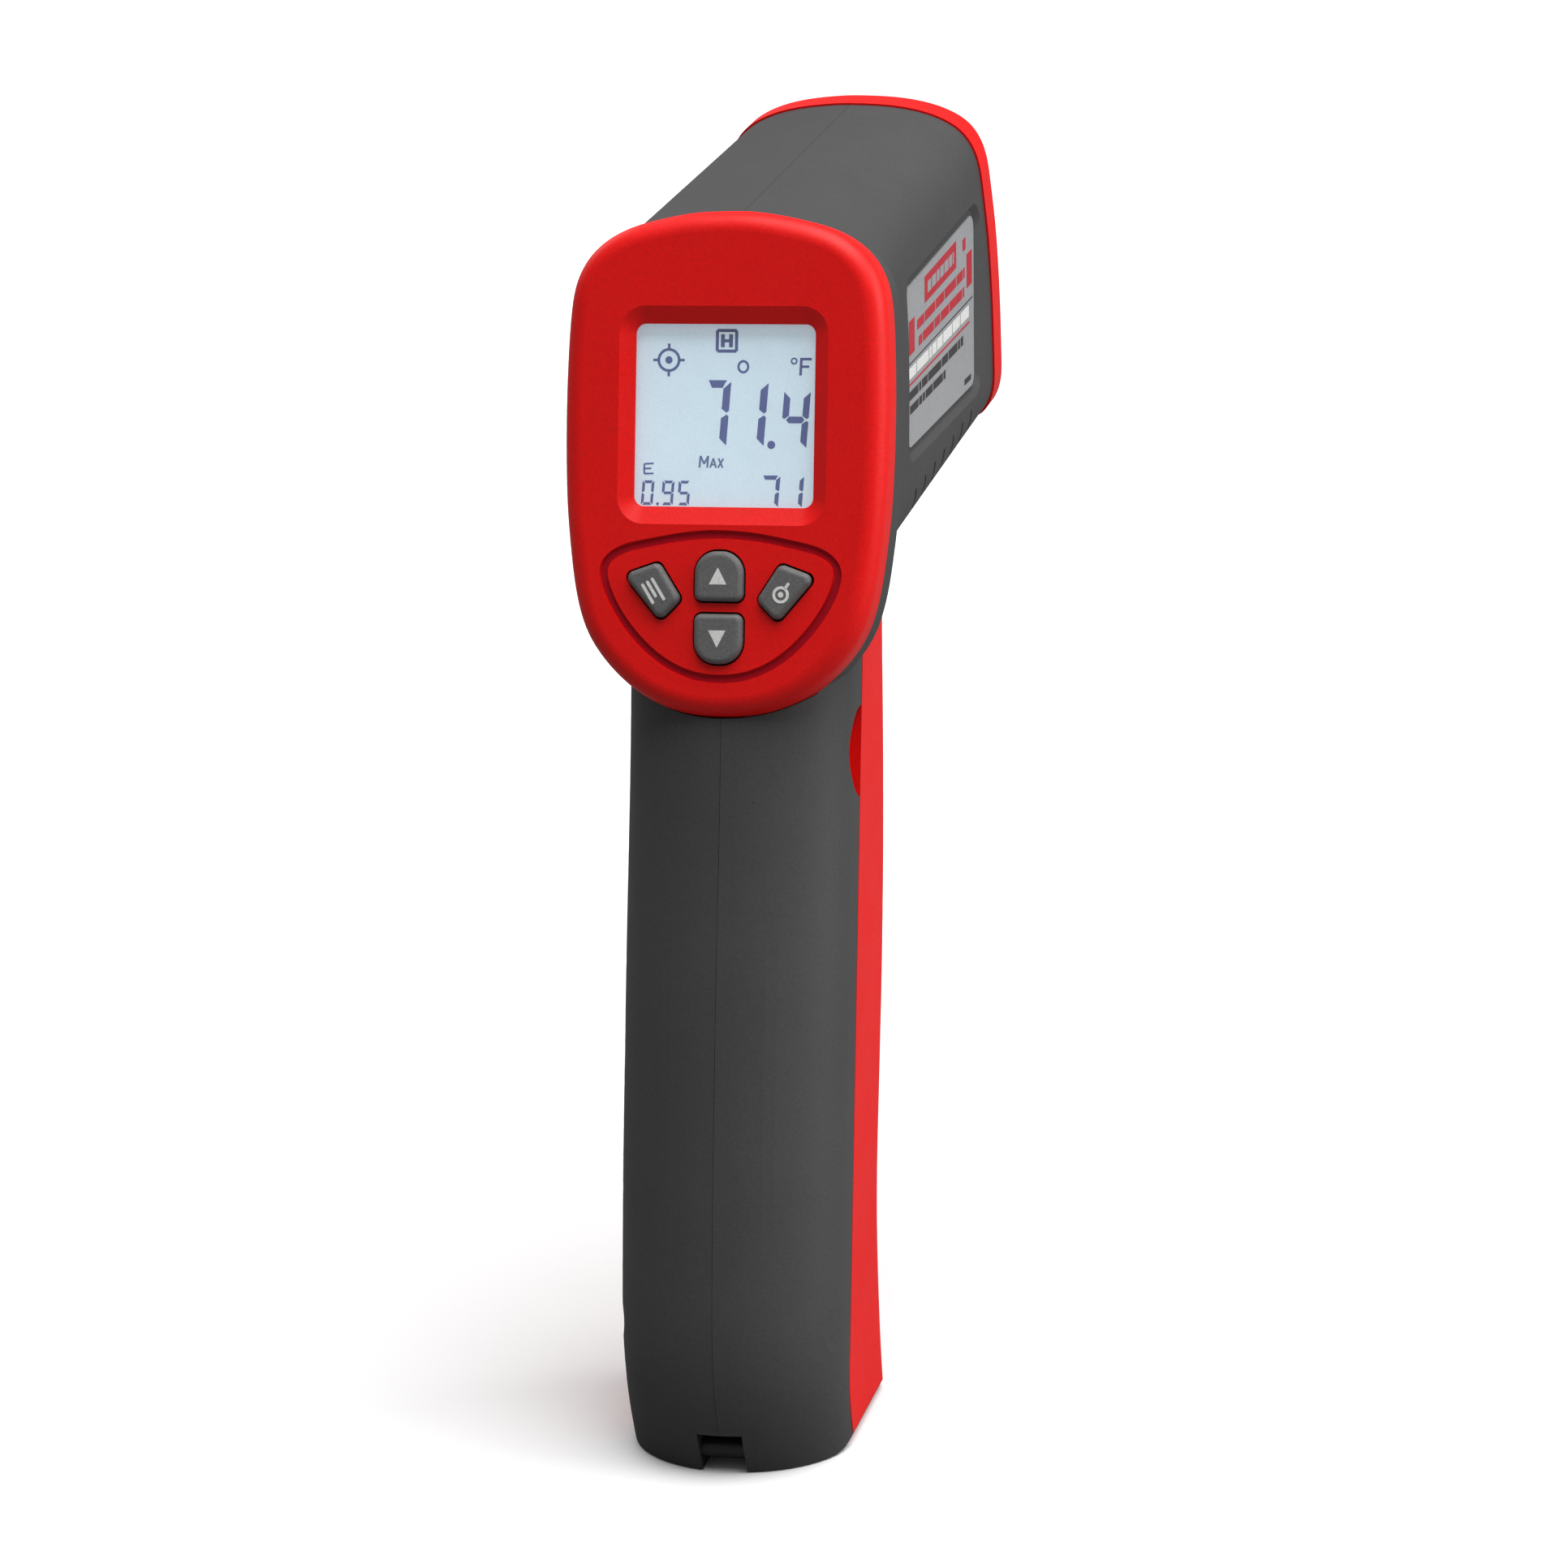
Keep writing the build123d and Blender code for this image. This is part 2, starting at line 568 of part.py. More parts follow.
with BuildPart() as key_down:
    with BuildSketch(FACE.offset(-KEY_D)) as k0:
        with Locations((0, -32.6)):
            RectangleRounded(8.5, 8.5, 1.6)
    extrude(amount=0.7)
    with BuildSketch(FACE.offset(-KEY_D)) as k1:
        with Locations((0, -32.6)):
            Rectangle(7.3, 7.3)
        fillet(k1.vertices().group_by(Axis.Y)[0], 3.3)
        fillet(k1.vertices().group_by(Axis.Y)[-1], 1.1)
    extrude(amount=KEY_D + KEY_PROUD)
    fillet(key_down.faces().sort_by(OUT)[-1].edges(), 0.8)
key_down.part.label = "key_down"
export_step(key_down.part, "parts/key_down.step")

with BuildPart() as key_sel:
    with BuildSketch(FACE.offset(-KEY_D)) as k0:
        with BuildLine():
            Polyline(*grow(SEL, 0.6), close=True)
        make_face()
        fillet(k0.vertices(), 1.2)
    extrude(amount=0.7)
    with BuildSketch(FACE.offset(-KEY_D)) as k1:
        with BuildLine():
            Polyline(*SEL, close=True)
        make_face()
        fillet(k1.vertices(), 1.1)
    extrude(amount=KEY_D + KEY_PROUD)
    fillet(key_sel.faces().sort_by(OUT)[-1].edges(), 0.8)
key_sel.part.label = "key_sel"
export_step(key_sel.part, "parts/key_sel.step")

with BuildPart() as key_set:
    with BuildSketch(FACE.offset(-KEY_D)) as k0:
        with BuildLine():
            Polyline(*grow(SET, 0.6), close=True)
        make_face()
        fillet(k0.vertices(), 1.2)
    extrude(amount=0.7)
    with BuildSketch(FACE.offset(-KEY_D)) as k1:
        with BuildLine():
            Polyline(*SET, close=True)
        make_face()
        fillet(k1.vertices(), 1.1)
    extrude(amount=KEY_D + KEY_PROUD)
    fillet(key_set.faces().sort_by(OUT)[-1].edges(), 0.8)
key_set.part.label = "key_set"
export_step(key_set.part, "parts/key_set.step")

# ---------------------------------------------------------------- nose
with BuildPart() as nose_ring:
    with BuildSketch(Plane.XZ.offset(-BARREL_FRONT_Y - 0.02)):
        with BuildLine():
            Spline(*full(scaled(NOSE, 1.014, 1.012, FACE_Z)), periodic=True)
        make_face()
    extrude(amount=-NOSE_LEN)
    fillet(nose_ring.faces().sort_by(Axis.Y)[-1].edges(), 2.0)
    with BuildSketch(Plane.XZ.offset(-BARREL_FRONT_Y)):
        with BuildLine():
            Spline(*full(lifted(inset(NOSE, 3.2), FACE_Z)), periodic=True)
        make_face()
    extrude(amount=-12, mode=Mode.SUBTRACT)
nose_ring.part.label = "nose_ring"
export_step(nose_ring.part, "parts/nose_ring.step")

with BuildPart() as nose_plate:
    with BuildSketch(Plane.XZ.offset(-58.2)):
        with BuildLine():
            Spline(*full(lifted(inset(NOSE, 2.25), FACE_Z)), periodic=True)
        make_face()
    extrude(amount=-1.28)
    with BuildSketch(Plane.XZ.offset(-58.2)):
        with BuildLine():
            Spline(*full(lifted(inset(NOSE, 3.3), FACE_Z)), periodic=True)
        make_face()
    extrude(amount=-5.4)
    with BuildSketch(Plane.XZ.offset(-58.0)):
        with Locations((0, OPTIC_Z)):
            Circle(8.2)
    with BuildSketch(Plane.XZ.offset(-63.8)):
        with Locations((0, OPTIC_Z)):
            Circle(11.4)
    loft(mode=Mode.SUBTRACT)
    with BuildSketch(Plane.XZ.offset(-58.0)):
        with Locations((0, LASER_Z)):
            Circle(2.0)
    extrude(amount=-8, mode=Mode.SUBTRACT)
nose_plate.part.label = "nose_plate"
export_step(nose_plate.part, "parts/nose_plate.step")

with BuildPart() as lens_tube:
    with BuildSketch(Plane.XZ.offset(-33.6)):
        with Locations((0, OPTIC_Z)):
            Circle(10.5)
            Circle(5.2, mode=Mode.SUBTRACT)
    extrude(amount=-1.6)
    with BuildSketch(Plane.XZ.offset(-33.6)):
        with Locations((0, OPTIC_Z)):
            Circle(10.5)
            Circle(9.2, mode=Mode.SUBTRACT)
    extrude(amount=-24.5)
    with BuildSketch(Plane.XZ.offset(-53.0)):
        with Locations((0, OPTIC_Z)):
            Circle(9.3)
            Circle(8.3, mode=Mode.SUBTRACT)
    extrude(amount=-1.5)
lens_tube.part.label = "lens_tube"
export_step(lens_tube.part, "parts/lens_tube.step")

with BuildPart() as ir_lens:
    with BuildSketch(Plane.XZ.offset(-54.52)):
        with Locations((0, OPTIC_Z)):
            Circle(9.1)
    extrude(amount=-0.9)
ir_lens.part.label = "ir_lens"
export_step(ir_lens.part, "parts/ir_lens.step")

with BuildPart() as lens_retainer:
    with BuildSketch(Plane.XZ.offset(-55.46)):
        with Locations((0, OPTIC_Z)):
            Circle(9.15)
            Circle(8.1, mode=Mode.SUBTRACT)
    extrude(amount=-1.8)
lens_retainer.part.label = "lens_retainer"
export_step(lens_retainer.part, "parts/lens_retainer.step")

with BuildPart() as sensor_can:
    with BuildSketch(Plane.XZ.offset(-33.5)):
        with Locations((0, OPTIC_Z)):
            Circle(4.9)
    extrude(amount=-0.6)
    with BuildSketch(Plane.XZ.offset(-33.5)):
        with Locations((0, OPTIC_Z)):
            Circle(4.1)
    extrude(amount=-4.4)
    with BuildSketch(Plane.XZ.offset(-37.4)):
        with Locations((0, OPTIC_Z)):
            Circle(1.6)
    extrude(amount=-0.6, mode=Mode.SUBTRACT)
sensor_can.part.label = "sensor_can"
export_step(sensor_can.part, "parts/sensor_can.step")

with BuildPart() as sensor_board:
    with BuildSketch(Plane.XZ.offset(-31.9)):
        with Locations((0, OPTIC_Z)):
            Circle(9.6)
    extrude(amount=-1.55)
sensor_board.part.label = "sensor_board"
export_step(sensor_board.part, "parts/sensor_board.step")

with BuildPart() as laser_module:
    with BuildSketch(Plane.XZ.offset(-38.0)):
        with Locations((0, LASER_Z)):
            Circle(4.0)
    extrude(amount=-18.5)
    with BuildSketch(Plane.XZ.offset(-54.0)):
        with Locations((0, LASER_Z)):
            Circle(2.3)
    extrude(amount=-4, mode=Mode.SUBTRACT)
laser_module.part.label = "laser_module"
export_step(laser_module.part, "parts/laser_module.step")

with BuildPart() as laser_lens:
    with BuildSketch(Plane.XZ.offset(-54.02)):
        with Locations((0, LASER_Z)):
            Circle(2.25)
    extrude(amount=-1.2)
laser_lens.part.label = "laser_lens"
export_step(laser_lens.part, "parts/laser_lens.step")

# ---------------------------------------------------------------- boards behind the optics
with BuildPart() as main_board:
    with BuildSketch(Plane.YZ.offset(-5.0)):
        with BuildLine():
            Polyline((-7.6, 168), (30, 168), (30, 137.2), (-10.0, 137.2), (-14.2, 130), (-14.2, 101.5),
                     (-23, 101.5), (-23.2, 120), (-16.2, 142), close=True)
        make_face()
        with Locations((26.0, 141.0), (26.0, 163.0)):
            Circle(1.15, mode=Mode.SUBTRACT)
    extrude(amount=1.6)
main_board.part.label = "main_board"
export_step(main_board.part, "parts/main_board.step")

with BuildPart() as board_chips:
    with Locations((-2.6, 4.0, 152.0)):
        Box(1.6, 10.0, 10.0)
    with Locations((-2.7, 16.0, 143.0)):
        Box(1.4, 5.0, 6.2)
    with Locations((-2.7, -1.0, 163.0)):
        Box(1.4, 4.0, 5.0)
board_chips.part.label = "board_chips"
export_step(board_chips.part, "parts/board_chips.step")

with BuildPart() as board_screws:
    with BuildSketch(Plane.YZ.offset(-12.0)):
        with Locations((26.0, 141.0), (26.0, 163.0)):
            Circle(0.98)
    extrude(amount=8.7)
    with BuildSketch(Plane.YZ.offset(-3.38)):
        with Locations((26.0, 141.0), (26.0, 163.0)):
            Circle(1.9)
    extrude(amount=1.3)
board_screws.part.label = "board_screws"
export_step(board_screws.part, "parts/board_screws.step")

with BuildPart() as buzzer:
    with BuildSketch(Plane.YZ.offset(-3.38)):
        with Locations((17.0, 158.0)):
            Circle(6.0)
    extrude(amount=4.2)
    with BuildSketch(Plane.YZ.offset(-0.2)):
        with Locations((17.0, 158.0)):
            Circle(1.0)
    extrude(amount=2, mode=Mode.SUBTRACT)
    fillet(buzzer.edges().sort_by(Axis.X)[-2:-1], 0.4)
buzzer.part.label = "buzzer"
export_step(buzzer.part, "parts/buzzer.step")

# ---------------------------------------------------------------- battery
with BuildPart() as battery_9v:
    with BuildSketch(BAT.offset(-24.25)):
        RectangleRounded(26.2, 17.3, 2.2)
    extrude(amount=46.2)
    fillet(battery_9v.faces().sort_by(Axis((0, 0, 0), (0, sin(radians(BAT_TILT)), cos(radians(BAT_TILT)))))[-1].edges(), 0.5)
    with BuildSketch(BAT.offset(21.9)):
        with Locations((-6.35, 0)):
            Circle(2.9)
        with Locations((6.35, 0)):
            Circle(4.1)
    extrude(amount=2.3)
battery_9v.part.label = "battery_9v"
export_step(battery_9v.part, "parts/battery_9v.step")

with BuildPart() as battery_snap:
    with BuildSketch(BAT.offset(24.3)):
        RectangleRounded(25.4, 12.6, 3.0)
    extrude(amount=2.6)
    fillet(battery_snap.faces().sort_by(Axis((0, 0, 0), (0, sin(radians(BAT_TILT)), cos(radians(BAT_TILT)))))[-1].edges(), 0.8)
battery_snap.part.label = "battery_snap"
export_step(battery_snap.part, "parts/battery_snap.step")

with BuildPart() as battery_pad:
    with BuildSketch(BAT.offset(-26.25)):
        RectangleRounded(22.0, 13.0, 1.0)
    extrude(amount=1.95)
battery_pad.part.label = "battery_pad"
export_step(battery_pad.part, "parts/battery_pad.step")

# two leads from the snap up to the board: straight runs joined by tangent arcs
lead_volumes = []
with BuildPart() as battery_leads:
    for x0, y1 in ((9.4, -19.5), (11.6, -16.5)):
        with BuildLine() as run:
            FilletPolyline((x0, -25.8, 81.6), (x0, -24.6, 91.5), (x0, y1 - 3.5, 101.0), (x0 - 3.0, y1 - 0.5, 111.0),
                           (x0 - 6.6, y1, 120.0), (x0 - 6.6, y1 + 1.5, 127.0), radius=3.4)
        with BuildSketch(Plane(origin=run.line @ 0, z_dir=run.line % 0)):
            Circle(0.6)
        sweep(path=run.line)
battery_leads.part.label = "battery_leads"
export_step(battery_leads.part, "parts/battery_leads.step")

# ---------------------------------------------------------------- trigger, its switch, spring and pin
with BuildPart() as trigger:
    with BuildSketch(Plane.YZ.offset(-4.5)):
        with BuildLine():
            Polyline((-9.5, 112.5), (-9.5, 104.0), (-8.6, 103.0), (-8.6, 98.6), (-7.6, 97.0), (-1.0, 95.6), (1.4, 95.8))
            Spline((1.4, 95.8), (3.1, 97.6), (2.6, 101.5), (2.9, 107.0), (4.6, 113.0), (6.5, 118.5), (6.3, 121.6), (3.6, 123.4))
            Polyline((3.6, 123.4), (TRIG_Y + 1.5, 124.0))
            ThreePointArc((TRIG_Y + 1.5, 124.0), (TRIG_Y - 2.6, 123.0), (TRIG_Y - 3.6, 119.5))
            Polyline((TRIG_Y - 3.6, 119.5), (-9.5, 112.5))
        make_face()
        with Locations((TRIG_Y, TRIG_Z)):
            Circle(1.33, mode=Mode.SUBTRACT)
    extrude(amount=9.0)

trigger.part.label = "trigger"
export_step(trigger.part, "parts/trigger.step")

with BuildPart() as trigger_pin:
    with Locations((0, TRIG_Y, TRIG_Z)):
        Cylinder(1.25, 13.6, rotation=(0, 90, 0))
trigger_pin.part.label = "trigger_pin"
export_step(trigger_pin.part, "parts/trigger_pin.step")

with BuildPart() as trigger_switch:
    with Locations((-0.1, -15.9, 107.8)):
        Box(6.4, 6.4, 7.4)
    with BuildSketch(Plane.XZ.offset(12.7)):
        with Locations((0, 108.0)):
            Circle(1.3)
    extrude(amount=4.4, mode=Mode.SUBTRACT)
trigger_switch.part.label = "trigger_switch"
export_step(trigger_switch.part, "parts/trigger_switch.step")

with BuildPart() as switch_plunger:
    with BuildSketch(Plane.XZ.offset(9.9)):
        with Locations((0, 108.0)):
            Circle(1.2)
    extrude(amount=5.0)
    fillet(switch_plunger.faces().sort_by(Axis.Y)[-1].edges(), 0.5)
switch_plunger.part.label = "switch_plunger"
export_step(switch_plunger.part, "parts/switch_plunger.step")

with BuildPart() as trigger_spring:
    with BuildSketch(Plane.XZ.offset(8.75)):
        with Locations((1.9, 100.6)):
            Circle(1.75)
            Circle(1.2, mode=Mode.SUBTRACT)
    extrude(amount=5.7)
trigger_spring.part.label = "trigger_spring"
export_step(trigger_spring.part, "parts/trigger_spring.step")

# ---------------------------------------------------------------- battery door: front and sides of the grip
with BuildPart() as battery_door:
    add(grip_outer.part)
    add(door_region.part, mode=Mode.INTERSECT)
    add(grip_inner.part, mode=Mode.SUBTRACT)
    # between the hinge walls everything behind the toe is open
    with BuildSketch(Plane.YZ):
        with BuildLine():
            Polyline((-70, -1), (HINGE_Y, -1), (HINGE_Y, 9.6), (-70, 9.6), close=True)
        make_face()
        with Locations((HINGE_Y, HINGE_Z)):
            Circle(TOE_R, mode=Mode.SUBTRACT)
    extrude(amount=13.3, both=True, mode=Mode.SUBTRACT)
    with BuildSketch(Plane.YZ):
        with Locations((HINGE_Y, HINGE_Z)):
            Circle(TOE_R - 2.0)
        with BuildLine():
            Polyline((-70, 3.4), (HINGE_Y, 3.4), (HINGE_Y, 16.0), (-70, 16.0), close=True)
        make_face()
    extrude(amount=13.3, both=True, mode=Mode.SUBTRACT)
    # slots in the toe for the ears
    with BuildSketch(Plane.YZ.offset(9.5), Plane.YZ.offset(-12.9)):
        with BuildLine():
            Polyline((-50, -2), (HINGE_Y + 4.2, -2), (HINGE_Y + 3.6, HINGE_Z - 3.6), (HINGE_Y, HINGE_Z), (-50, HINGE_Z), close=True)
        make_face()
    extrude(amount=3.4, mode=Mode.SUBTRACT)
    # trigger slot, open at the top
    with BuildSketch(Plane.YZ):
        with BuildLine():
            Polyline((-14, 91.5), (20, 91.5), (20, 140), (-14, 140), close=True)
        make_face()
    extrude(amount=5.4, both=True, mode=Mode.SUBTRACT)
    # finger tabs inside the half-moon notches
    for sx in (1, -1):
        with BuildSketch(Plane.YZ.offset(12.8 if sx > 0 else -14.3)):
            with BuildLine():
                Polyline((bound(91.2) - 6.7, 91.2), (bound(91.2) + 4, 91.2), (bound(109.5) + 4, 109.5),
                         (bound(109.5) - 6.7, 109.5), close=True)
            make_face()
        extrude(amount=1.5)
        with BuildSketch(Plane.YZ.offset(13.0 if sx > 0 else -15.6)):
            with BuildLine():
                Polyline((bound(91.2) + 0.5, 91.2), (bound(91.2) + 4, 91.2), (bound(109.5) + 4, 109.5),
                         (bound(109.5) + 0.5, 109.5), close=True)
            make_face()
        extrude(amount=2.6)
    with BuildSketch(Plane.YZ.offset(-15.8)):
        with Locations((HINGE_Y, HINGE_Z)):
            Circle(1.5)
    extrude(amount=31.6, mode=Mode.SUBTRACT)
for extra in battery_door.part.solids():
    bb = extra.bounding_box()
    print("door solid", round(extra.volume, 1), bb.min, bb.max)
battery_door.part.label = "battery_door"
export_step(battery_door.part, "parts/battery_door.step")

with BuildPart() as door_hinge_pins:
    with BuildSketch(Plane.YZ.offset(9.9), Plane.YZ.offset(-15.8)):
        with Locations((HINGE_Y, HINGE_Z)):
            Circle(1.5)
    extrude(amount=5.9)
door_hinge_pins.part.label = "door_hinge_pins"
export_step(door_hinge_pins.part, "parts/door_hinge_pins.step")

# ---------------------------------------------------------------- side labels
with BuildPart() as label_right:
    with BuildSketch(side_plane(1.15)) as ls:
        with BuildLine():
            Polyline(*LABEL, close=True)
        make_face()
        fillet(ls.vertices(), 2.2)
    extrude(amount=0.25)
label_right.part.label = "label_right"
export_step(label_right.part, "parts/label_right.step")
with BuildPart() as label_left_flat:
    with BuildSketch(side_plane(1.15)) as ls:
        with BuildLine():
            Polyline(*LABEL_LEFT, close=True)
        make_face()
        fillet(ls.vertices(), 2.2)
    extrude(amount=0.25)
with BuildPart() as label_left:
    add(mirror(label_left_flat.part, about=Plane.YZ))
label_left.part.label = "label_left"
export_step(label_left.part, "parts/label_left.step")
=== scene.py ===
import bpy, bmesh, math
from mathutils import Matrix, Vector


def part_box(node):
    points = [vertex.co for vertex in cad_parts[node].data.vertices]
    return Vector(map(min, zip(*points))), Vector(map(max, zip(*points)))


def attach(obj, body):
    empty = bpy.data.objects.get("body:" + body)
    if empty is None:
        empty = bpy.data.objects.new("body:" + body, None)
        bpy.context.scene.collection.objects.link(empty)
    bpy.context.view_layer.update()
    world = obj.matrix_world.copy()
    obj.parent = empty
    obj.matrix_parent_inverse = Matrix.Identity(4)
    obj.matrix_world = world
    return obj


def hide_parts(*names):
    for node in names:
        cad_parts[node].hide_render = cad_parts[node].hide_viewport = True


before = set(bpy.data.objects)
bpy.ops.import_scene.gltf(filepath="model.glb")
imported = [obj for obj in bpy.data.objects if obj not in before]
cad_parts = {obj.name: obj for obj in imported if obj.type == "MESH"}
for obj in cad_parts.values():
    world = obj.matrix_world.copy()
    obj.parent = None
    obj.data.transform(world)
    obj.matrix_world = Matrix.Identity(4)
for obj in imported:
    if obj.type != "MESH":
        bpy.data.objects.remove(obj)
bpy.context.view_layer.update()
MM = 0.001

# ------------------------------------------------------------------ places on the display face
ST, CT = math.sin(math.radians(18.5)), math.cos(math.radians(18.5))
FACE_O = Vector((0, -24.5, 151.4))
FX, FS, FN = Vector((1, 0, 0)), Vector((0, ST, CT)), Vector((0, -CT, ST))


def face(x, s, h):
    return (FACE_O + FX * x + FS * s + FN * h) * MM


A = math.radians(1.22)
LAB_N, LAB_U = Vector((math.cos(A), math.sin(A), 0)), Vector((-math.sin(A), math.cos(A), 0))


def side(u, v, h):
    o = Vector((21.79 - 1.15, 18.0, 151.4))
    return (o + LAB_U * u + Vector((0, 0, 1)) * v + LAB_N * h) * MM


def side_left(u, v, h):
    p = side(u, v, h)
    return Vector((-p.x, p.y, p.z))


# ------------------------------------------------------------------ materials
def srgb(r, g, b):
    f = lambda c: c / 12.92 if c <= 0.04045 else ((c + 0.055) / 1.055) ** 2.4
    return (f(r / 255), f(g / 255), f(b / 255), 1.0)


def moulded(name, colour, rough=0.5, grain=2400.0, bump=0.35, depth=0.00003, vary=0.10, rough_vary=0.10,
            spec=0.5, metallic=0.0, coat=0.0, coat_rough=0.1, alpha=1.0, speck=0.0, emit=None, emit_strength=0.0,
            stretch=None, dust=0.0):
    m = bpy.data.materials.new(name)
    m.use_nodes = True
    nt = m.node_tree
    N, L = nt.nodes, nt.links
    bs = N["Principled BSDF"]
    tc = N.new("ShaderNodeTexCoord")
    mp = N.new("ShaderNodeMapping")
    if stretch:
        mp.inputs["Scale"].default_value = stretch
    L.new(tc.outputs["Object"], mp.inputs["Vector"])
    # broad, faint change of colour
    n1 = N.new("ShaderNodeTexNoise")
    n1.inputs["Scale"].default_value = 55.0
    n1.inputs["Detail"].default_value = 4.0
    L.new(mp.outputs["Vector"], n1.inputs["Vector"])
    r1 = N.new("ShaderNodeValToRGB")
    lo = tuple(c * (1 - vary) for c in colour[:3]) + (1,)
    hi = tuple(min(1.0, c * (1 + vary) + 0.004 * vary) for c in colour[:3]) + (1,)
    r1.color_ramp.elements[0].position, r1.color_ramp.elements[0].color = 0.3, lo
    r1.color_ramp.elements[1].position, r1.color_ramp.elements[1].color = 0.72, hi
    L.new(n1.outputs["Fac"], r1.inputs["Fac"])
    # grain of the mould
    n2 = N.new("ShaderNodeTexNoise")
    n2.inputs["Scale"].default_value = grain
    n2.inputs["Detail"].default_value = 3.0
    n2.inputs["Roughness"].default_value = 0.6
    L.new(mp.outputs["Vector"], n2.inputs["Vector"])
    mix = N.new("ShaderNodeMix")
    mix.data_type = "RGBA"
    mix.blend_type = "MULTIPLY"
    mix.inputs[0].default_value = 1.0
    r2 = N.new("ShaderNodeValToRGB")
    r2.color_ramp.elements[0].position, r2.color_ramp.elements[0].color = 0.32, (1 - 0.16 - speck,) * 3 + (1,)
    r2.color_ramp.elements[1].position, r2.color_ramp.elements[1].color = 0.66, (1.0, 1.0, 1.0, 1)
    L.new(n2.outputs["Fac"], r2.inputs["Fac"])
    L.new(r1.outputs["Color"], mix.inputs[6])
    L.new(r2.outputs["Color"], mix.inputs[7])
    L.new(mix.outputs[2], bs.inputs["Base Color"])
    mr = N.new("ShaderNodeMapRange")
    mr.inputs["From Min"].default_value, mr.inputs["From Max"].default_value = 0.3, 0.7
    mr.inputs["To Min"].default_value = max(0.02, rough - rough_vary)
    mr.inputs["To Max"].default_value = min(1.0, rough + rough_vary)
    n3 = N.new("ShaderNodeTexNoise")
    n3.inputs["Scale"].default_value = 130.0
    n3.inputs["Detail"].default_value = 5.0
    L.new(mp.outputs["Vector"], n3.inputs["Vector"])
    L.new(n3.outputs["Fac"], mr.inputs["Value"])
    L.new(mr.outputs["Result"], bs.inputs["Roughness"])
    bp = N.new("ShaderNodeBump")
    bp.inputs["Strength"].default_value = bump
    bp.inputs["Distance"].default_value = depth
    L.new(n2.outputs["Fac"], bp.inputs["Height"])
    L.new(bp.outputs["Normal"], bs.inputs["Normal"])
    bs.inputs["Specular IOR Level"].default_value = spec
    bs.inputs["Metallic"].default_value = metallic
    bs.inputs["Coat Weight"].default_value = coat
    bs.inputs["Coat Roughness"].default_value = coat_rough
    if alpha < 1:
        bs.inputs["Alpha"].default_value = alpha
    if emit:
        bs.inputs["Emission Color"].default_value = emit
        bs.inputs["Emission Strength"].default_value = emit_strength
    return m


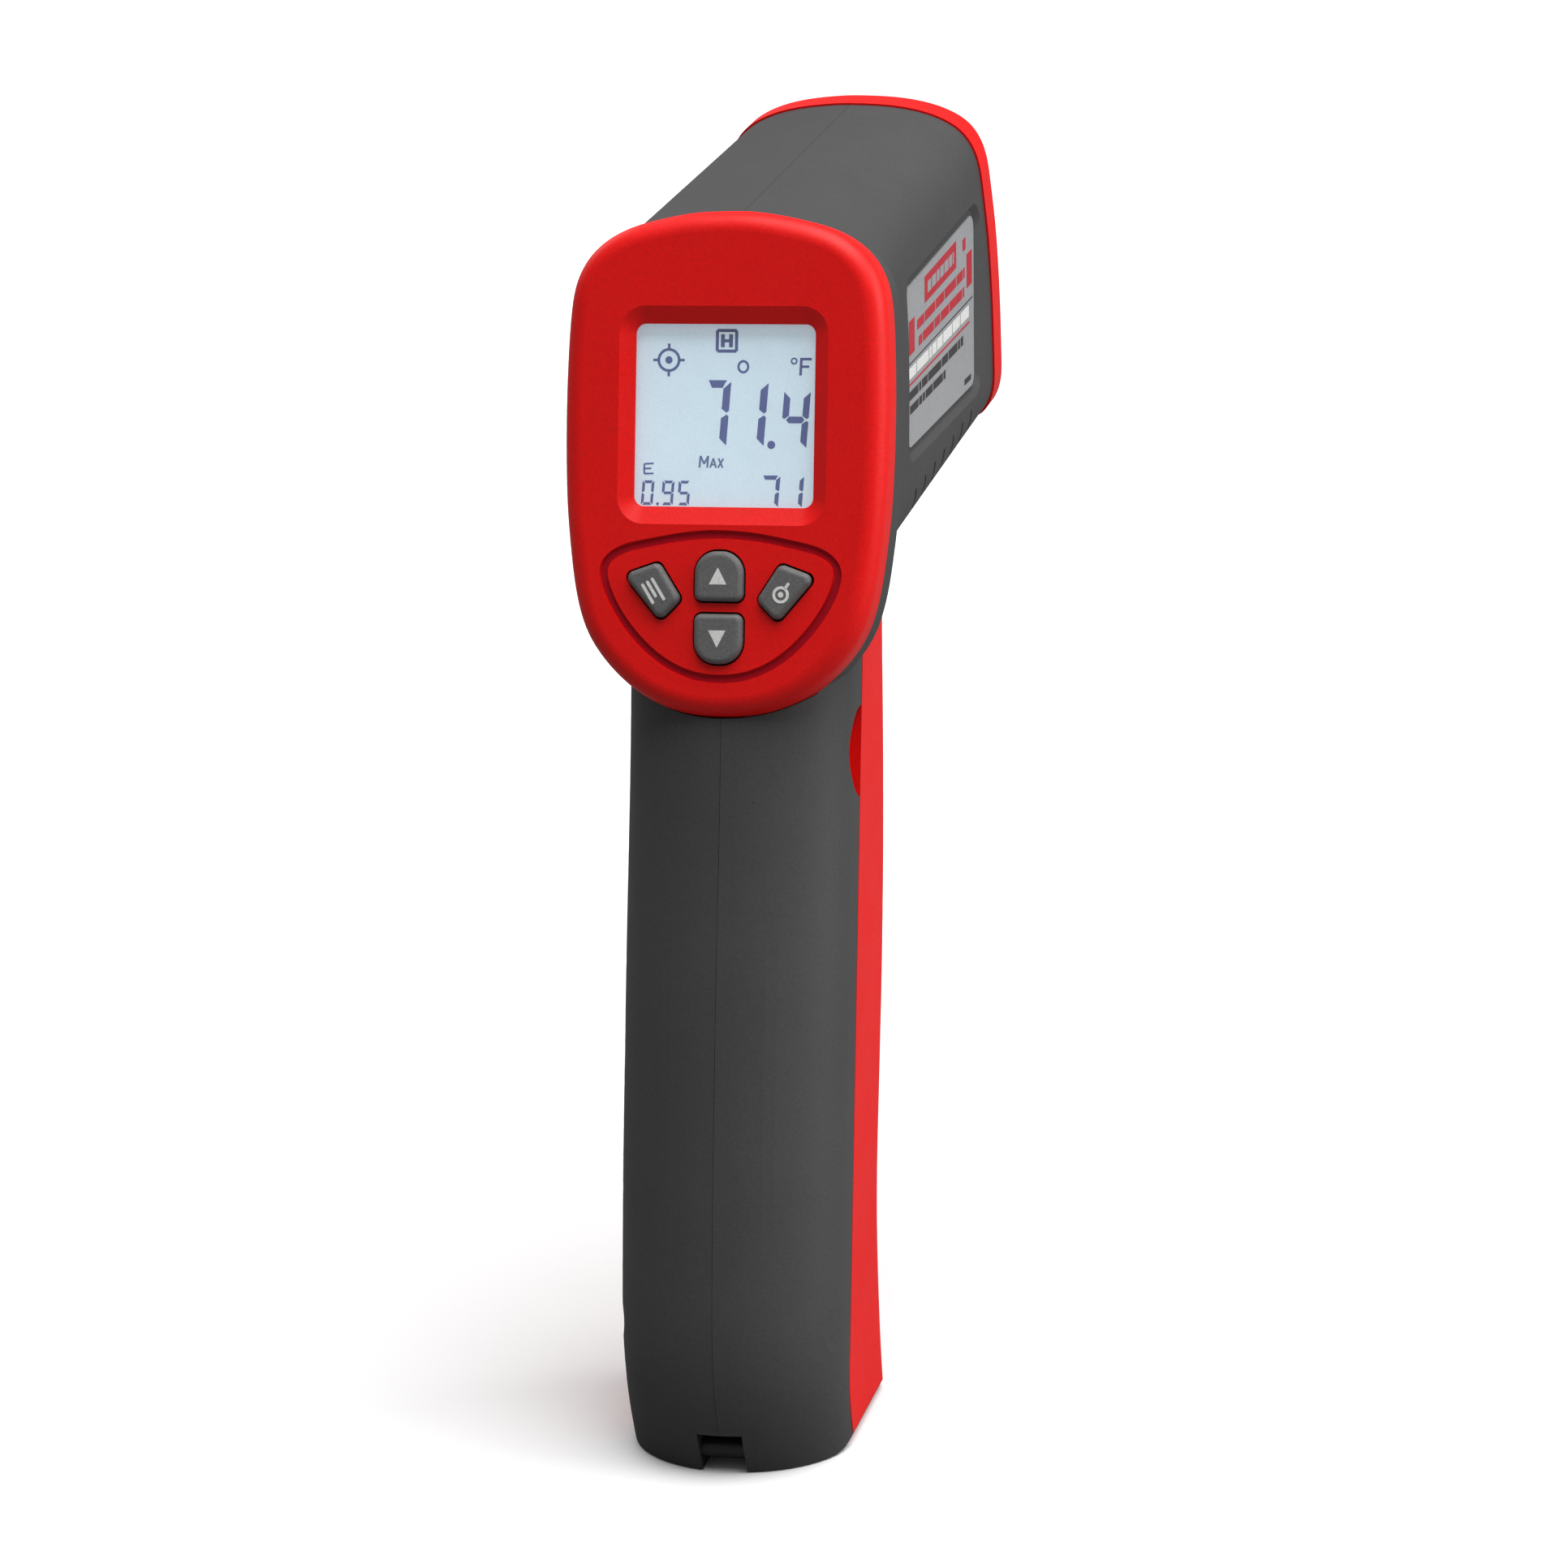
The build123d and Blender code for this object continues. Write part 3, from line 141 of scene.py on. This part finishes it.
RED = (0.86, 0.0048, 0.0040, 1)
GREY = (0.060, 0.060, 0.0605, 1)
M = {
    "grey": moulded("grey_body", GREY, rough=0.55, grain=2600, bump=0.40, vary=0.04, rough_vary=0.05, spec=0.30),
    "red": moulded("red_trim", RED, rough=0.46, grain=2600, bump=0.24, vary=0.02, rough_vary=0.04, spec=0.26),
    # painted shade: darker red for the floor of the fan groove, standing in for the shade that falls inside the recess
    "painted_shade_red": moulded("red_painted_groove_shade", (0.42, 0.002, 0.014, 1), rough=0.6, grain=2600, bump=0.3, vary=0.05, spec=0.15),
    "rubber": moulded("grey_rubber", (0.145, 0.145, 0.145, 1), rough=0.60, grain=3400, bump=0.6, vary=0.05, speck=0.14, spec=0.4),
    "black": moulded("black_plastic", (0.012, 0.012, 0.013, 1), rough=0.45, grain=2200, bump=0.3, vary=0.1),
    "window": moulded("clear_window", (0.92, 0.96, 0.98, 1), rough=0.06, grain=300, bump=0.02, vary=0.01, rough_vary=0.03, alpha=0.10),
    "lcd": moulded("lcd_glass", (0.60, 0.755, 0.845, 1), rough=0.34, grain=4200, bump=0.10, vary=0.03, rough_vary=0.05,
                   emit=(0.60, 0.76, 0.86, 1), emit_strength=0.42),
    "white_diffuser": moulded("white_diffuser", (0.82, 0.84, 0.85, 1), rough=0.4, grain=900, vary=0.03),
    "segment": moulded("lcd_segment", (0.035, 0.085, 0.42, 1), rough=0.5, grain=4200, bump=0.05, vary=0.04, rough_vary=0.04, spec=0.15),
    "segment_light": moulded("lcd_segment_light", (0.10, 0.18, 0.46, 1), rough=0.5, grain=4200, bump=0.05, vary=0.04, rough_vary=0.04),
    "ink_white": moulded("ink_white", srgb(232, 232, 230), rough=0.55, grain=2800, bump=0.2, vary=0.05, speck=0.05),
    "ink_red": moulded("ink_red", srgb(188, 20, 44), rough=0.45, grain=2800, bump=0.1, vary=0.05),
    "ink_dark": moulded("ink_dark", srgb(48, 44, 44), rough=0.5, grain=2800, bump=0.1, vary=0.08),
    "silver": moulded("silver_label", srgb(166, 168, 171), rough=0.40, grain=1800, bump=0.08, vary=0.04, rough_vary=0.06, spec=0.5, metallic=0.15),
    "steel": moulded("plated_steel", (0.60, 0.60, 0.61, 1), rough=0.30, grain=900, bump=0.12, metallic=1.0, vary=0.06),
    "nickel": moulded("nickel_can", (0.66, 0.63, 0.57, 1), rough=0.25, grain=700, bump=0.08, metallic=1.0, vary=0.06),
    "brass": moulded("turned_brass", (0.70, 0.50, 0.20, 1), rough=0.28, grain=900, bump=0.12, metallic=1.0, vary=0.07, stretch=(1, 8, 1)),
    "milky": moulded("ir_lens_film", (0.52, 0.52, 0.50, 1), rough=0.35, grain=1500, bump=0.1, vary=0.04),
    "board": moulded("circuit_board", (0.012, 0.13, 0.045, 1), rough=0.30, grain=700, bump=0.3, vary=0.18, coat=0.4),
    "jacket": moulded("battery_jacket", (0.05, 0.062, 0.08, 1), rough=0.30, grain=900, bump=0.06, vary=0.06, metallic=0.5),
    "lead": moulded("lead_jacket", (0.33, 0.016, 0.016, 1), rough=0.5, grain=1800, bump=0.2, vary=0.06),
    "foam": moulded("foam", (0.06, 0.06, 0.062, 1), rough=0.95, grain=1500, bump=1.0, depth=0.0002, vary=0.2),
    "plunger": moulded("red_plunger", (0.55, 0.05, 0.04, 1), rough=0.3, grain=1500, bump=0.1, vary=0.04),
}
NODE_MAT = {
    "left_shell": "grey", "right_shell": "grey", "rear_bezel": "red", "nose_ring": "red", "nose_plate": "black",
    "lcd_window": "window", "lcd_panel": "lcd", "lcd_backlight": "white_diffuser", "keypad_mat": "rubber", "display_board": "board",
    "board_connector": "black", "main_board": "board", "board_chips": "black", "board_screws": "steel", "case_screws": "steel",
    "sensor_board": "board", "sensor_can": "nickel", "ir_lens": "milky", "lens_tube": "black", "lens_retainer": "black",
    "laser_module": "brass", "laser_lens": "window", "battery_9v": "jacket", "battery_snap": "black", "battery_leads": "lead",
    "battery_pad": "foam", "buzzer": "black", "trigger_switch": "black", "switch_plunger": "plunger", "trigger_spring": "steel",
    "trigger_pin": "steel", "lanyard_bar": "black", "label_right": "silver", "label_left": "silver", "trigger": "red",
    "battery_door": "red", "door_hinge_pins": "steel", "key_up": "rubber", "key_down": "rubber", "key_sel": "rubber", "key_set": "rubber",
}
for n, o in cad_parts.items():
    o.data.materials.clear()
    o.data.materials.append(M[NODE_MAT[n]])


# ------------------------------------------------------------------ thin printed shapes as closed prisms
def prisms(name, polys, place, h0, h1, mat, body):
    bm = bmesh.new()
    for poly in polys:
        lo = [bm.verts.new(place(x, y, h0)) for x, y in poly]
        hi = [bm.verts.new(place(x, y, h1)) for x, y in poly]
        bm.faces.new(lo[::-1])
        bm.faces.new(hi)
        n = len(poly)
        for i in range(n):
            bm.faces.new((lo[i], lo[(i + 1) % n], hi[(i + 1) % n], hi[i]))
    bmesh.ops.recalc_face_normals(bm, faces=bm.faces)
    me = bpy.data.meshes.new(name)
    bm.to_mesh(me)
    bm.free()
    ob = bpy.data.objects.new(name, me)
    bpy.context.collection.objects.link(ob)
    me.materials.append(mat)
    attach(ob, body)
    return ob


def ring_quads(cx, cy, rx, ry, t, n=28):
    out = []
    for i in range(n):
        a, b = 2 * math.pi * i / n, 2 * math.pi * (i + 1) / n
        out.append([(cx + rx * math.cos(a), cy + ry * math.sin(a)), (cx + rx * math.cos(b), cy + ry * math.sin(b)),
                    (cx + (rx - t) * math.cos(b), cy + (ry - t) * math.sin(b)), (cx + (rx - t) * math.cos(a), cy + (ry - t) * math.sin(a))])
    return out


def disc(cx, cy, r, n=24):
    return [(cx + r * math.cos(2 * math.pi * i / n), cy + r * math.sin(2 * math.pi * i / n)) for i in range(n)]


def rounded(x0, y0, x1, y1, r, n=5):
    pts = []
    for cx, cy, a0 in ((x1 - r, y1 - r, 0), (x0 + r, y1 - r, 90), (x0 + r, y0 + r, 180), (x1 - r, y0 + r, 270)):
        for i in range(n + 1):
            a = math.radians(a0 + 90 * i / n)
            pts.append((cx + r * math.cos(a), cy + r * math.sin(a)))
    return pts


def stroke(x0, y0, x1, y1, t):
    dx, dy = x1 - x0, y1 - y0
    k = math.hypot(dx, dy)
    nx, ny = -dy / k * t / 2, dx / k * t / 2
    return [(x0 + nx, y0 + ny), (x1 + nx, y1 + ny), (x1 - nx, y1 - ny), (x0 - nx, y0 - ny)]


SEGS = {"0": "abcdef", "1": "bc", "2": "abged", "3": "abgcd", "4": "fgbc", "5": "afgcd", "6": "afgedc", "7": "abc", "8": "abcdefg", "9": "abcfgd"}


def digit(ch, x, y, w, h, t, slant=0.10):
    """Seven-segment numeral: lower left corner x, y."""
    g = t * 0.12
    hh = h / 2
    q = t / 2
    box = {
        "a": [(q + g, h), (w - q - g, h), (w - t - g, h - t), (t + g, h - t)],
        "d": [(t + g, t), (w - t - g, t), (w - q - g, 0), (q + g, 0)],
        "g": [(q + g, hh), (t + g * 0.4, hh + q), (w - t - g * 0.4, hh + q), (w - q - g, hh), (w - t - g * 0.4, hh - q), (t + g * 0.4, hh - q)],
        "f": [(0, h - q * 0.4), (t, h - t - g), (t, hh + q + g), (q * 0.6, hh + g), (0, hh + q * 0.5 + g)],
        "b": [(w, h - q * 0.4), (w, hh + q * 0.5 + g), (w - q * 0.6, hh + g), (w - t, hh + q + g), (w - t, h - t - g)],
        "e": [(0, q * 0.4), (0, hh - q * 0.5 - g), (q * 0.6, hh - g), (t, hh - q - g), (t, t + g)],
        "c": [(w, q * 0.4), (w - t, t + g), (w - t, hh - q - g), (w - q * 0.6, hh - g), (w, hh - q * 0.5 - g)],
    }
    return [[(x + px + slant * py, y + py) for px, py in box[s]] for s in SEGS[ch]]


# crop fractions of the window, turned into face millimetres
def wx(v):
    return (v - 655) * 0.022857


def wy(v):
    return -(v - 767.5) * 0.021796


def dig(ch, x0, x1, y0, y1, t, slant=0.07):
    h = wy(y0) - wy(y1)
    return digit(ch, wx(x0), wy(y1), wx(x1) - wx(x0) - slant * h, h, t, slant)


LCD_H0, LCD_H1 = -2.705, -2.66
seg = []
seg += dig("7", 470, 680, 528, 975, 1.12)
seg += dig("1", 700, 928, 535, 975, 1.12)
seg += dig("4", 1006, 1207, 595, 985, 0.98)
seg.append(disc(wx(935) + 0.35, wy(958), 0.60))
seg += dig("0", 88, 178, 1205, 1370, 0.40)
seg += dig("9", 222, 312, 1205, 1370, 0.40)
seg += dig("5", 330, 420, 1205, 1370, 0.40)
seg.append(disc(wx(200), wy(1362), 0.22))
seg += dig("7", 870, 1015, 1163, 1378, 0.62)
seg += dig("1", 1035, 1172, 1163, 1378, 0.62)
# small signs along the top: a beam-on target ring, a boxed hold sign, a ring and the unit
tx, ty = wx(262), wy(395)
seg += ring_quads(tx, ty, 1.75, 1.75, 0.40)
seg.append(disc(tx, ty, 0.55))
for dx, dy in ((1, 0), (-1, 0), (0, 1), (0, -1)):
    seg.append(stroke(tx + dx * 1.5, ty + dy * 1.5, tx + dx * 2.4, ty + dy * 2.4, 0.38))
hb = (wx(582), wy(333), wx(710), wy(195))
for x0, y0, x1, y1 in ((hb[0], hb[1], hb[2], hb[1]), (hb[0], hb[3], hb[2], hb[3]), (hb[0], hb[1], hb[0], hb[3]), (hb[2], hb[1], hb[2], hb[3])):
    seg.append(stroke(x0, y0, x1, y1, 0.46))
cx, cy = (hb[0] + hb[2]) / 2, (hb[1] + hb[3]) / 2
seg += [stroke(cx - 0.62, cy - 0.95, cx - 0.62, cy + 0.95, 0.58), stroke(cx + 0.62, cy - 0.95, cx + 0.62, cy + 0.95, 0.58),
        stroke(cx - 0.62, cy, cx + 0.62, cy, 0.46)]
seg += ring_quads(wx(757), wy(437), 0.90, 0.98, 0.34)
seg += ring_quads(wx(1093), wy(397), 0.52, 0.52, 0.24)
fx0, fx1, fy0, fy1 = wx(1136), wx(1208), wy(493), wy(375)
seg += [stroke(fx0, fy0, fx0 + 0.12, fy1, 0.40), stroke(fx0, fy1 - 0.18, fx1, fy1 - 0.18, 0.38), stroke(fx0 + 0.1, (fy0 + fy1) / 2, fx1 - 0.35, (fy0 + fy1) / 2, 0.36)]
# emissivity sign
seg += [stroke(wx(108), wy(1095), wx(170), wy(1090), 0.26), stroke(wx(108), wy(1095), wx(108), wy(1160), 0.26),
        stroke(wx(108), wy(1126), wx(155), wy(1124), 0.26), stroke(wx(108), wy(1160), wx(170), wy(1158), 0.26)]
prisms("lcd_digits", seg, face, LCD_H0, LCD_H1, M["segment"], "housing")
light = []
mx, my, mh = wx(472), wy(1115), 1.70
# three capital letters for the highest reading
light += [stroke(mx + 0.10, my, mx + 0.25, my + mh, 0.30), stroke(mx + 0.25, my + mh, mx + 0.80, my + 0.55, 0.28),
          stroke(mx + 0.80, my + 0.55, mx + 1.40, my + mh, 0.28), stroke(mx + 1.40, my + mh, mx + 1.28, my, 0.30)]
light += [stroke(mx + 1.72, my, mx + 2.20, my + mh * 0.8, 0.27), stroke(mx + 2.20, my + mh * 0.8, mx + 2.62, my, 0.27), stroke(mx + 1.92, my + 0.45, mx + 2.44, my + 0.45, 0.24)]
light += [stroke(mx + 2.90, my, mx + 3.72, my + mh * 0.8, 0.27), stroke(mx + 2.98, my + mh * 0.8, mx + 3.62, my, 0.27)]
prisms("lcd_highest_sign", light, face, LCD_H0, LCD_H1, M["segment_light"], "housing")

# ------------------------------------------------------------------ marks on the keys
TOP = 1.1
prisms("mark_up", [[(-1.32, -24.65), (1.32, -24.65), (0, -22.15)]], face, TOP - 0.02, TOP + 0.035, M["ink_white"], "key_up")
prisms("mark_down", [[(-1.32, -31.35), (1.32, -31.35), (0, -33.85)][::-1]], face, TOP - 0.02, TOP + 0.035, M["ink_white"], "key_down")


def turned(polys, cx, cy, deg):
    a = math.radians(deg)
    return [[(cx + x * math.cos(a) - y * math.sin(a), cy + x * math.sin(a) + y * math.cos(a)) for x, y in p] for p in polys]


bars = [rounded(-1.9, 0.62, 1.9, 1.08, 0.2), rounded(-1.9, -0.23, 0.9, 0.23, 0.2), rounded(-1.9, -1.08, 1.5, -0.62, 0.2)]
prisms("mark_sel", turned(bars, -9.75, -25.9, -58), face, TOP - 0.02, TOP + 0.035, M["ink_white"], "key_sel")
dial = ring_quads(0, 0, 1.25, 1.25, 0.42) + [rounded(-0.22, 1.0, 0.22, 2.1, 0.15), disc(0, 0, 0.42)]
prisms("mark_set", turned(dial, 9.55, -26.0, -35), face, TOP - 0.02, TOP + 0.035, M["ink_white"], "key_set")

# ------------------------------------------------------------------ labels: plain blocks and bars, no words
LAB_RIGHT = [(-12.6, 10.7), (36.4, 9.5), (29.8, -16.3), (-18.4, -12.6)]
LAB_LEFT = [(-12.6, 10.7), (33.0, 9.6), (27.6, -11.8), (-17.6, -11.2)]


def label_art(prefix, place, LAB):
    def lab(s, t):
        top = (LAB[0][0] + (LAB[1][0] - LAB[0][0]) * s, LAB[0][1] + (LAB[1][1] - LAB[0][1]) * s)
        bot = (LAB[3][0] + (LAB[2][0] - LAB[3][0]) * s, LAB[3][1] + (LAB[2][1] - LAB[3][1]) * s)
        return (top[0] + (bot[0] - top[0]) * t, top[1] + (bot[1] - top[1]) * t)

    def block(s0, t0, s1, t1):
        return [lab(s0, t0), lab(s1, t0), lab(s1, t1), lab(s0, t1)]

    def dashes(s0, s1, t0, t1, widths, gap=0.012):
        out, s, i = [], s0, 0
        while s < s1 - 0.01:
            w = widths[i % len(widths)]
            out.append(block(s, t0, min(s + w, s1), t1))
            s += w + gap
            i += 1
        return out

    h0, h1 = 0.24, 0.285
    prisms(prefix + "_red", [block(0.26, 0.050, 0.73, 0.210)] + dashes(0.15, 0.86, 0.262, 0.322, (0.10, 0.15, 0.12, 0.17, 0.09))
           + dashes(0.17, 0.85, 0.372, 0.430, (0.05, 0.16, 0.08, 0.12, 0.19)) + [block(0.02, 0.606, 0.93, 0.618)]
           + [block(0.03, 0.22, 0.11, 0.43), block(0.89, 0.20, 0.97, 0.40), block(0.83, 0.09, 0.875, 0.16)], place, h0, h1, M["ink_red"], "housing")
    prisms(prefix + "_silver", dashes(0.30, 0.69, 0.098, 0.165, (0.05, 0.06, 0.04)), place, h1 - 0.01, h1 + 0.03, M["silver"], "housing")
    prisms(prefix + "_white", dashes(0.02, 0.92, 0.512, 0.578, (0.11, 0.17, 0.03, 0.06, 0.08, 0.13)), place, h0, h1, M["ink_white"], "housing")
    prisms(prefix + "_dark", [block(0.01, 0.480, 0.98, 0.488)] + dashes(0.03, 0.83, 0.655, 0.708, (0.13, 0.03, 0.08, 0.19, 0.09))
           + dashes(0.04, 0.56, 0.745, 0.795, (0.12, 0.04, 0.03, 0.10, 0.14)) + [block(0.85, 0.925, 0.95, 0.958)],
           place, h0, h1, M["ink_dark"], "housing")


label_art("label_right_art", side, LAB_RIGHT)
label_art("label_left_art", side_left, LAB_LEFT)

# ------------------------------------------------------------------ painted shade: a darker red band on the floor of the fan groove, standing in for the shade inside the groove
FAN = [(0, -18.0), (5.6, -18.4), (11.0, -19.4), (15.2, -20.6), (16.9, -22.2), (16.6, -25.2), (13.6, -30.4),
       (9.4, -34.6), (4.7, -37.1), (0, -37.8)]


def loop_of(half):
    return list(half) + [(-x, y) for x, y in reversed(half[1:-1])]


def catmull(pts, k=8):
    out, n = [], len(pts)
    for i in range(n):
        p0, p1, p2, p3 = (Vector(pts[(i + j) % n]) for j in (-1, 0, 1, 2))
        for j in range(k):
            t = j / k
            out.append(0.5 * ((2 * p1) + (p2 - p0) * t + (2 * p0 - 5 * p1 + 4 * p2 - p3) * t * t + (3 * p1 - p0 - 3 * p2 + p3) * t ** 3))
    return out


def band(loop, a, b):
    n, quads, inner, outer = len(loop), [], [], []
    for i in range(n):
        d = (loop[(i + 1) % n] - loop[i - 1]).normalized()
        nrm = Vector((-d.y, d.x))
        inner.append(loop[i] + nrm * a)
        outer.append(loop[i] + nrm * b)
    return [[tuple(inner[i]), tuple(inner[(i + 1) % n]), tuple(outer[(i + 1) % n]), tuple(outer[i])] for i in range(n)]


# painted shade: a thin darker red band laid on the groove floor to darken the recess
prisms("fan_groove_shade", band(catmull(loop_of(FAN)), 0.12, 1.16), face, -0.56, -0.50, M["painted_shade_red"], "housing")

# ------------------------------------------------------------------ softer edges on the trigger
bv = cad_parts["trigger"].modifiers.new("edge", "BEVEL")
bv.width, bv.segments, bv.limit_method, bv.angle_limit = 0.0007, 3, "ANGLE", math.radians(40)

# ------------------------------------------------------------------ coil spring in place of the plain tube
lo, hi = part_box("trigger_spring")
c = (lo + hi) / 2
turns, steps, r, wire = 6.0, 26, 0.00147, 0.00026
pts = [(c.x + r * math.cos(2 * math.pi * i / steps), lo.y + wire + (hi.y - lo.y - 2 * wire) * i / (turns * steps),
        c.z + r * math.sin(2 * math.pi * i / steps)) for i in range(int(turns * steps) + 1)]
cu = bpy.data.curves.new("spring_coil", "CURVE")
cu.dimensions = "3D"
sp = cu.splines.new("POLY")
sp.points.add(len(pts) - 1)
for p, q in zip(sp.points, pts):
    p.co = (*q, 1)
cu.bevel_depth, cu.bevel_resolution, cu.use_fill_caps = wire, 3, True
coil = bpy.data.objects.new("spring_coil", cu)
bpy.context.collection.objects.link(coil)
cu.materials.append(M["steel"])
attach(coil, "housing")
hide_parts("trigger_spring")

# ------------------------------------------------------------------ floor, light and camera
fm = bpy.data.materials.new("floor_paper")
fm.use_nodes = True
nt = fm.node_tree
bs = nt.nodes["Principled BSDF"]
bs.inputs["Roughness"].default_value = 0.9
bs.inputs["Specular IOR Level"].default_value = 0.1
lp = nt.nodes.new("ShaderNodeLightPath")
mx = nt.nodes.new("ShaderNodeMix")
mx.data_type = "RGBA"
mx.inputs[6].default_value = (0.16, 0.16, 0.16, 1)
mx.inputs[7].default_value = (0.78, 0.78, 0.78, 1)
nt.links.new(lp.outputs["Is Camera Ray"], mx.inputs[0])
nt.links.new(mx.outputs[2], bs.inputs["Base Color"])
me = bpy.data.meshes.new("floor")
S = 6.0
me.from_pydata([(-S, -S, -0.0002), (S, -S, -0.0002), (S, S, -0.0002), (-S, S, -0.0002)], [], [(0, 1, 2, 3)])
floor = bpy.data.objects.new("floor", me)
bpy.context.collection.objects.link(floor)
me.materials.append(fm)

world = bpy.data.worlds.new("studio")
bpy.context.scene.world = world
world.use_nodes = True
world.node_tree.nodes["Background"].inputs["Color"].default_value = (1, 1, 1, 1)
world.node_tree.nodes["Background"].inputs["Strength"].default_value = 0.22


def softbox(name, place, aim, size, power, size_y=None):
    li = bpy.data.lights.new(name, "AREA")
    li.shape, li.size, li.size_y, li.energy = "RECTANGLE", size, size_y or size, power
    ob = bpy.data.objects.new(name, li)
    bpy.context.collection.objects.link(ob)
    ob.location = place
    ob.rotation_mode = "QUATERNION"
    ob.rotation_quaternion = (Vector(aim) - Vector(place)).to_track_quat("-Z", "Y")
    return ob


def sun(name, towards, strength, angle):
    li = bpy.data.lights.new(name, "SUN")
    li.energy, li.angle = strength, math.radians(angle)
    ob = bpy.data.objects.new(name, li)
    bpy.context.collection.objects.link(ob)
    ob.rotation_mode = "QUATERNION"
    ob.rotation_quaternion = Vector(towards).to_track_quat("Z", "Y")
    return ob


sun("top_light", (0.22, 0.02, 1.0), 3.9, 55)
softbox("right_box", (1.20, 0.10, 0.62), (0, 0.0, 0.11), 0.9, 11.0)
softbox("front_left_box", (-0.9, 0.7, 0.8), (0, 0.0, 0.12), 0.8, 3.0)

cam_data = bpy.data.cameras.new("camera")
cam_data.sensor_width = 36.0
cam_data.lens = 36.0 * 7380 / 1932
cam_data.clip_start, cam_data.clip_end = 0.05, 30
cam = bpy.data.objects.new("camera", cam_data)
bpy.context.collection.objects.link(cam)
R, U, F = Vector((0.9656, 0.2511, -0.0670)), Vector((-0.0246, 0.3450, 0.9383)), Vector((-0.2588, 0.9044, -0.3393))
m = Matrix((R, U, -F)).transposed().to_4x4()
m.translation = Vector((236.0, -806.1 - 24.5, 245.3 + 151.4)) * MM
cam.matrix_world = m
bpy.context.scene.camera = cam
bpy.context.scene.view_settings.view_transform = "Standard"
